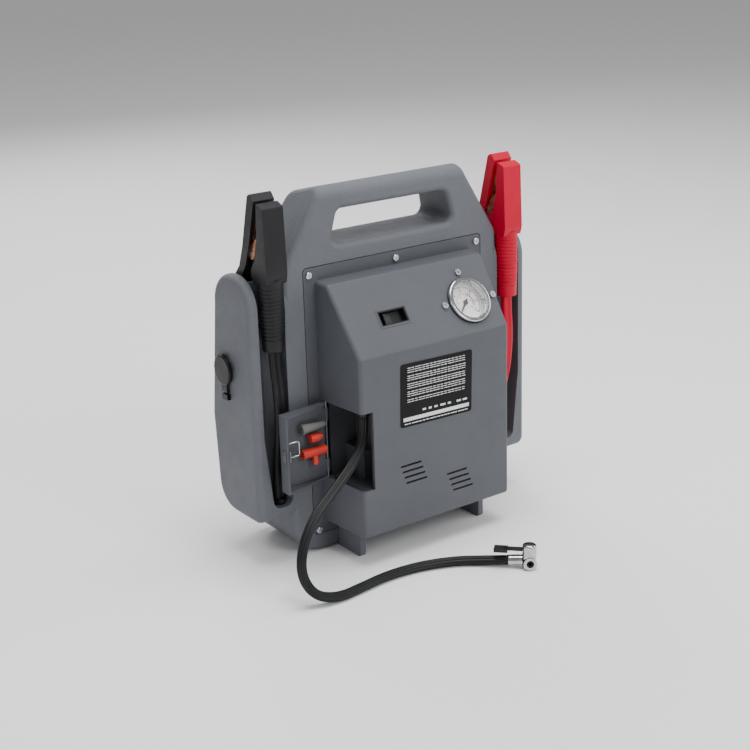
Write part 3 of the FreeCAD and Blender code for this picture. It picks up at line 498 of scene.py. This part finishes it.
def textBarTree():
    tree, given, output = newTree("textBars", [
        ("Rows", "NodeSocketInt"), ("Words", "NodeSocketInt"), ("Group", "NodeSocketInt"),
        ("Cell", "NodeSocketFloat"), ("Pitch", "NodeSocketFloat"), ("Gap", "NodeSocketFloat"),
        ("Height", "NodeSocketFloat"), ("Thick", "NodeSocketFloat"), ("Seed", "NodeSocketInt"),
        ("Material", "NodeSocketMaterial"),
    ])
    get = given.outputs
    index = tree.nodes.new("GeometryNodeInputIndex").outputs[0]
    count = mathNode(tree, "MULTIPLY", get["Rows"], get["Words"])
    row = mathNode(tree, "FLOOR", mathNode(tree, "DIVIDE", mathNode(tree, "ADD", index, 0.5), get["Words"]))
    column = mathNode(tree, "SUBTRACT", index, mathNode(tree, "MULTIPLY", row, get["Words"]))
    group = mathNode(tree, "FLOOR", mathNode(tree, "DIVIDE", mathNode(tree, "ADD", row, 0.5), get["Group"]))
    random = tree.nodes.new("FunctionNodeRandomValue")
    random.data_type = "FLOAT"
    random.inputs[2].default_value, random.inputs[3].default_value = 0.7, 0.97
    tree.links.new(index, random.inputs["ID"])
    tree.links.new(get["Seed"], random.inputs["Seed"])
    long = mathNode(tree, "MULTIPLY", random.outputs[1], get["Cell"])
    x = mathNode(tree, "ADD", mathNode(tree, "MULTIPLY", column, get["Cell"]),
                 mathNode(tree, "MULTIPLY", long, 0.5))
    down = mathNode(tree, "ADD", mathNode(tree, "MULTIPLY", row, get["Pitch"]),
                    mathNode(tree, "MULTIPLY", group, get["Gap"]))
    y = mathNode(tree, "MULTIPLY", down, -1.0)
    scatterBoxes(tree, count, vectorNode(tree, x, y, 0.0), vectorNode(tree, 0.0, 0.0, 0.0),
                 vectorNode(tree, long, get["Height"], get["Thick"]), get["Material"], output)
    return tree


def grownMesh(name, tree, values):
    # runs a tree with its named inputs set and keeps the plain mesh
    holder = bpy.data.objects.new(name, bpy.data.meshes.new(name))
    bpy.context.collection.objects.link(holder)
    grower = holder.modifiers.new("grow", "NODES")
    grower.node_group = tree
    for item in tree.interface.items_tree:
        if item.item_type == "SOCKET" and item.in_out == "INPUT":
            grower[item.identifier] = values[item.name]
    holder.update_tag()
    bpy.context.view_layer.update()
    ready = holder.evaluated_get(bpy.context.evaluated_depsgraph_get())
    mesh = bpy.data.meshes.new_from_object(ready)
    bpy.data.objects.remove(holder)
    return mesh


def gathered(name, meshes, place, materials):
    # joins flat meshes in one piece on the plane that place gives
    joined = bmesh.new()
    for i, mesh in enumerate(meshes):
        before = len(joined.faces)
        joined.from_mesh(mesh)
        joined.faces.ensure_lookup_table()
        for face in joined.faces[before:]:
            face.material_index = i
        bpy.data.meshes.remove(mesh)
    bmesh.ops.recalc_face_normals(joined, faces=joined.faces)
    joined.transform(place)
    mesh = bpy.data.meshes.new(name)
    joined.to_mesh(mesh)
    joined.free()
    for mat in materials:
        mesh.materials.append(mat)
    piece = bpy.data.objects.new(name, mesh)
    bpy.context.collection.objects.link(piece)
    return piece


def flatMesh(name, outline, thick):
    # a closed flat shape from an outline
    shape = bmesh.new()
    face = shape.faces.new([shape.verts.new((x, y, -thick / 2)) for x, y in outline])
    top = bmesh.ops.extrude_face_region(shape, geom=[face])["geom"]
    bmesh.ops.translate(shape, vec=(0, 0, thick), verts=[v for v in top if isinstance(v, bmesh.types.BMVert)])
    mesh = bpy.data.meshes.new(name)
    shape.to_mesh(mesh)
    shape.free()
    return mesh


def arcOutline(inner, outer, start, end, steps=64):
    angles = [math.radians(start + (end - start) * k / steps) for k in range(steps + 1)]
    return ([(outer * math.cos(a), outer * math.sin(a)) for a in angles]
            + [(inner * math.cos(a), inner * math.sin(a)) for a in reversed(angles)])


def boxOutline(x0, x1, y0, y1):
    return [(x0, y0), (x1, y0), (x1, y1), (x0, y1)]


def numberMesh(text, size, place, thick):
    data = bpy.data.curves.new("number", "FONT")
    data.body, data.size, data.extrude = text, size, thick / 2
    data.align_x, data.align_y = "CENTER", "CENTER"
    data.resolution_u = 3
    line = bpy.data.objects.new("number", data)
    bpy.context.collection.objects.link(line)
    bpy.context.view_layer.update()
    mesh = bpy.data.meshes.new_from_object(line.evaluated_get(bpy.context.evaluated_depsgraph_get()))
    bpy.data.objects.remove(line)
    mesh.transform(Matrix.Translation((*place, 0)))
    return mesh


# pressure gauge's printed dial

slopeUp = (0, 0.58, 0.8146)
gaugeSettings = {
    "centre": (0.0589, -0.0941, 0.2525),
    "inkDepth": -0.00737,
    "ink": 0.00006,
    "start": 225.0,
    "sweep": -270.0,
    "outerScale": 0.0182,
    "numbersAt": 0.0133,
    "numberSize": 0.0040,
    "redBand": (60.0, -22.0),
    "innerScale": 0.0100,
    "redBandAt": 0.0106,
    "redBandWidth": 0.0010,
    "innerNumbersAt": 0.0076,
    "innerNumberShare": 0.55,
    "fineTicks": (31, 0.0017, 0.00048),
    "longTicks": (7, 0.0029, 0.0010),
    "innerTicks": (26, 0.0009, 0.00022),
    "outerLine": 0.00045,
    "innerLine": 0.00035,
}


def makeDial():
    s = gaugeSettings
    outwards = Vector(slopeUp).cross(Vector((1, 0, 0))) * -1
    place = placeMatrix(Vector(s["centre"]) + outwards.normalized() * s["inkDepth"], (1, 0, 0), slopeUp)
    start, sweep = math.radians(s["start"]), math.radians(s["sweep"])
    tree = tickTree()

    def ticks(name, count, inner, outer, width, mat):
        return grownMesh(name, tree, {"Count": count, "Start": start, "Sweep": sweep, "Inner": inner,
                                      "Outer": outer, "Width": width, "Thick": s["ink"], "Material": mat})

    def numbers(count, step, radius, size):
        made = []
        for k in range(count):
            angle = math.radians(s["start"] + s["sweep"] * k / (count - 1))
            at = (radius * math.cos(angle), radius * math.sin(angle))
            made.append(numberMesh(str(step * k), size, at, s["ink"]))
        return made

    def arc(name, inner, outer):
        return flatMesh(name, arcOutline(inner, outer, s["start"], s["start"] + s["sweep"]), s["ink"])

    big, small, band = s["outerScale"], s["innerScale"], s["redBandAt"]
    black, red = finish["inkBlack"], finish["inkRed"]
    fine, fineLong, fineWide = s["fineTicks"]
    main, mainLong, mainWide = s["longTicks"]
    inner, innerLong, innerWide = s["innerTicks"]
    blackMarks = [
        ticks("fineTicks", fine, big - fineLong, big, fineWide, black),
        ticks("longTicks", main, big - mainLong, big, mainWide, black),
        arc("outerArc", big, big + s["outerLine"]),
    ] + numbers(7, 3, s["numbersAt"], s["numberSize"])
    redMarks = [
        ticks("innerTicks", inner, small, small + innerLong, innerWide, red),
        arc("innerArc", small - s["innerLine"], small),
        flatMesh("redBand", arcOutline(band, band + s["redBandWidth"], *s["redBand"]), s["ink"]),
    ] + numbers(6, 50, s["innerNumbersAt"], s["numberSize"] * s["innerNumberShare"])
    for name, meshes, mat, slotName in (("dialScaleBlack", blackMarks, black, "needle_black"),
                                        ("dialScaleRed", redMarks, red, "red_plastic")):
        piece = gathered(name, meshes, place, [mat] * len(meshes))
        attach(piece, "housing")


makeDial()
print("gauge dial printed")

# thin black ring under the gauge's ring, painted shade of the crease between the ring and the shell, and the
# raised rim round the switch

trimSettings = {
    "shadeRing": (0.0249, 0.0257, 0.0005),
    "shadeRingTurn": 359.99,
    "shadeRingSteps": 96,
    "shadeRingRaise": 0.55,
    "switch": (-0.0376, -0.0930, 0.2538),
    "rimOuter": (0.0186, 0.0099),
    "rimInner": (0.0172, 0.0084),
    "rimHigh": 0.0006,
    "rimRaise": 0.4,
}


def makeTrim():
    s = trimSettings
    # painted shade: a thin black ring laid in the crease round the gauge's ring
    inner, outer, high = s["shadeRing"]
    ring = arcOutline(inner, outer, 0, s["shadeRingTurn"], s["shadeRingSteps"])
    shadeRing = flatMesh("shadeRing", ring, high)
    lift = Matrix.Translation((0, 0, high * s["shadeRingRaise"]))
    at = placeMatrix(gaugeSettings["centre"], (1, 0, 0), slopeUp) @ lift
    piece = gathered("gaugeShadeRing", [shadeRing], at, [finish["black"]])
    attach(piece, "housing")
    (ox, oy), (ix, iy), high = s["rimOuter"], s["rimInner"], s["rimHigh"]
    bars = [(-ox, ox, iy, oy), (-ox, ox, -oy, -iy), (-ox, -ix, -iy, iy), (ix, ox, -iy, iy)]
    lift = Matrix.Translation((0, 0, high * s["rimRaise"]))
    at = placeMatrix(s["switch"], (1, 0, 0), slopeUp) @ lift
    rim = gathered("switchRim", [flatMesh("rim", boxOutline(*bar), high) for bar in bars], at,
                   [finish["cover"]] * len(bars))
    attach(rim, "housing")


makeTrim()
print("gauge gasket and switch rim made")

# rating label's printing, all of it plain bars

labelSettings = {
    "centre": (-0.001, -0.115, 0.1749),
    "turn": 1.5,
    "ink": 0.00008,
    "inkRaise": 0.45,
    "lines": {"Rows": 14, "Words": 16, "Group": 3, "Cell": 0.0047, "Pitch": 0.0023, "Gap": 0.0015,
              "Height": 0.00065, "Seed": 4},
    "corner": (-0.0375, 0.0287),
    "marks": [(-0.016, 0.0042), (-0.0085, 0.0036), (-0.001, 0.0042), (0.008, 0.0066), (0.0165, 0.004),
              (0.029, 0.0056), (0.037, 0.0056)],
    "marksAt": -0.0187,
    "markHigh": 0.0020,
    "band": (-0.0425, 0.0425, -0.0275, -0.0236),
    "foot": {"Rows": 1, "Words": 18, "Group": 1, "Cell": 0.0046, "Pitch": 0.003, "Gap": 0.0, "Height": 0.0009,
             "Seed": 9},
    "footAt": (-0.041, -0.0304),
}


def makeLabelPrint():
    s = labelSettings
    a = math.radians(s["turn"])
    place = placeMatrix(s["centre"], (math.cos(a), 0, -math.sin(a)), (math.sin(a), 0, math.cos(a)))
    place = place @ Matrix.Translation((0, 0, s["ink"] * s["inkRaise"]))
    tree = textBarTree()
    common = {"Thick": s["ink"], "Material": finish["print"]}
    lines = grownMesh("labelLines", tree, {**s["lines"], **common})
    lines.transform(Matrix.Translation((*s["corner"], 0)))
    foot = grownMesh("labelFoot", tree, {**s["foot"], **common})
    foot.transform(Matrix.Translation((*s["footAt"], 0)))
    meshes = [lines, foot, flatMesh("labelBand", boxOutline(*s["band"]), s["ink"])]
    low = s["marksAt"] - s["markHigh"] / 2
    for x, size in s["marks"]:
        bar = boxOutline(x - size / 2, x + size / 2, low, low + s["markHigh"])
        meshes.append(flatMesh("labelMark", bar, s["ink"]))
    piece = gathered("labelPrint", meshes, place, [finish["print"]] * len(meshes))
    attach(piece, "housing")


makeLabelPrint()
print("label printed")

# ridges on the compressor switch's rocker; the ridges are real, their lighter grey is painted highlight

rockerSettings = {
    "centre": (-0.0376, -0.0930, 0.2538),
    "pivotDepth": -0.009,
    "tilt": 8.0,
    "ridges": 6,
    "pitch": 0.0011,
    "first": -0.0088,
    "size": (0.00045, 0.0092, 0.0005),
    "faceDepth": -0.0044,
    "faceFall": 0.0015,
    "faceHalf": 0.0101,
}


def makeRockerRidges():
    s = rockerSettings
    tilt = math.radians(s["tilt"])
    frameAt = placeMatrix(s["centre"], (1, 0, 0), slopeUp)
    w, l, h = s["size"]
    meshes = []
    for k in range(s["ridges"]):
        x = s["first"] + s["pitch"] * k
        z = s["faceDepth"] - s["faceFall"] * (x + s["faceHalf"]) / s["faceHalf"]
        bar = flatMesh("ridge", boxOutline(x - w / 2, x + w / 2, -l / 2, l / 2), h)
        bar.transform(Matrix.Translation((0, 0, z - s["pivotDepth"])))
        bar.transform(Matrix.Rotation(tilt, 4, "Y"))
        bar.transform(Matrix.Translation((0, 0, s["pivotDepth"])))
        meshes.append(bar)
    # painted highlight: the ridges take the lighter liner grey instead of the rocker's black
    piece = gathered("rockerRidges", meshes, frameAt, [finish["dark"]] * len(meshes))
    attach(piece, "rocker")


makeRockerRidges()
print("rocker finished")

# wire bail and clip plate inside the door

bailSettings = {
    "hinge": (-0.0984, -0.0556),
    "open": -90.0,
    "clip": (-0.0930, -0.0835, 0.1200, 0.1320),
    "clipFace": -0.1146,
    "clipThick": 0.0007,
    "wire": 0.0007,
    "wireSides": 12,
    "bends": [(-0.0840, -0.1120, 0.1395), (-0.0840, -0.1000, 0.1395), (-0.0840, -0.0988, 0.1385),
              (-0.0840, -0.0985, 0.1370), (-0.0840, -0.0985, 0.1268), (-0.0840, -0.0989, 0.1254),
              (-0.0840, -0.1000, 0.1245), (-0.0840, -0.1120, 0.1245)],
}


def makeBail():
    s = bailSettings
    around = Matrix.Translation((*s["hinge"], 0))
    turn = around @ Matrix.Rotation(math.radians(s["open"]), 4, "Z") @ around.inverted()
    path = [turn @ Vector(p) for p in s["bends"]]
    angles = [2 * math.pi * k / s["wireSides"] for k in range(s["wireSides"])]
    ring = [(s["wire"] * math.cos(a), s["wire"] * math.sin(a)) for a in angles]
    bail = sweep("doorBail", path, ring, finish["zinc"], (0, 0, 1))
    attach(bail, "door")
    x0, x1, z0, z1 = s["clip"]
    plate = flatMesh("clip", boxOutline(x0, x1, z0, z1), s["clipThick"])
    clip = gathered("doorClip", [plate], turn @ placeMatrix((0, s["clipFace"], 0), (1, 0, 0), (0, 0, 1)),
                    [finish["pin"]])
    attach(clip, "door")


makeBail()
print("door wire and clip made")

floorSettings = {
    "half": 6.0,
    "colour": (0.93, 0.93, 0.93),
    "roughness": 0.7,
    "roughnessSpread": (0.66, 0.76),
    "patchScale": 3.0,
}


def makeFloor():
    s = floorSettings
    mat, shader = newMaterial("floorPale", s["colour"], s["roughness"])
    varyRoughness(mat, shader, *s["roughnessSpread"], s["patchScale"])
    half = s["half"]
    corners = [(-half, -half, 0), (half, -half, 0), (half, half, 0), (-half, half, 0)]
    floor = newPiece("floor", corners, [(0, 1, 2, 3)], mat, False)


makeFloor()
print("floor made")
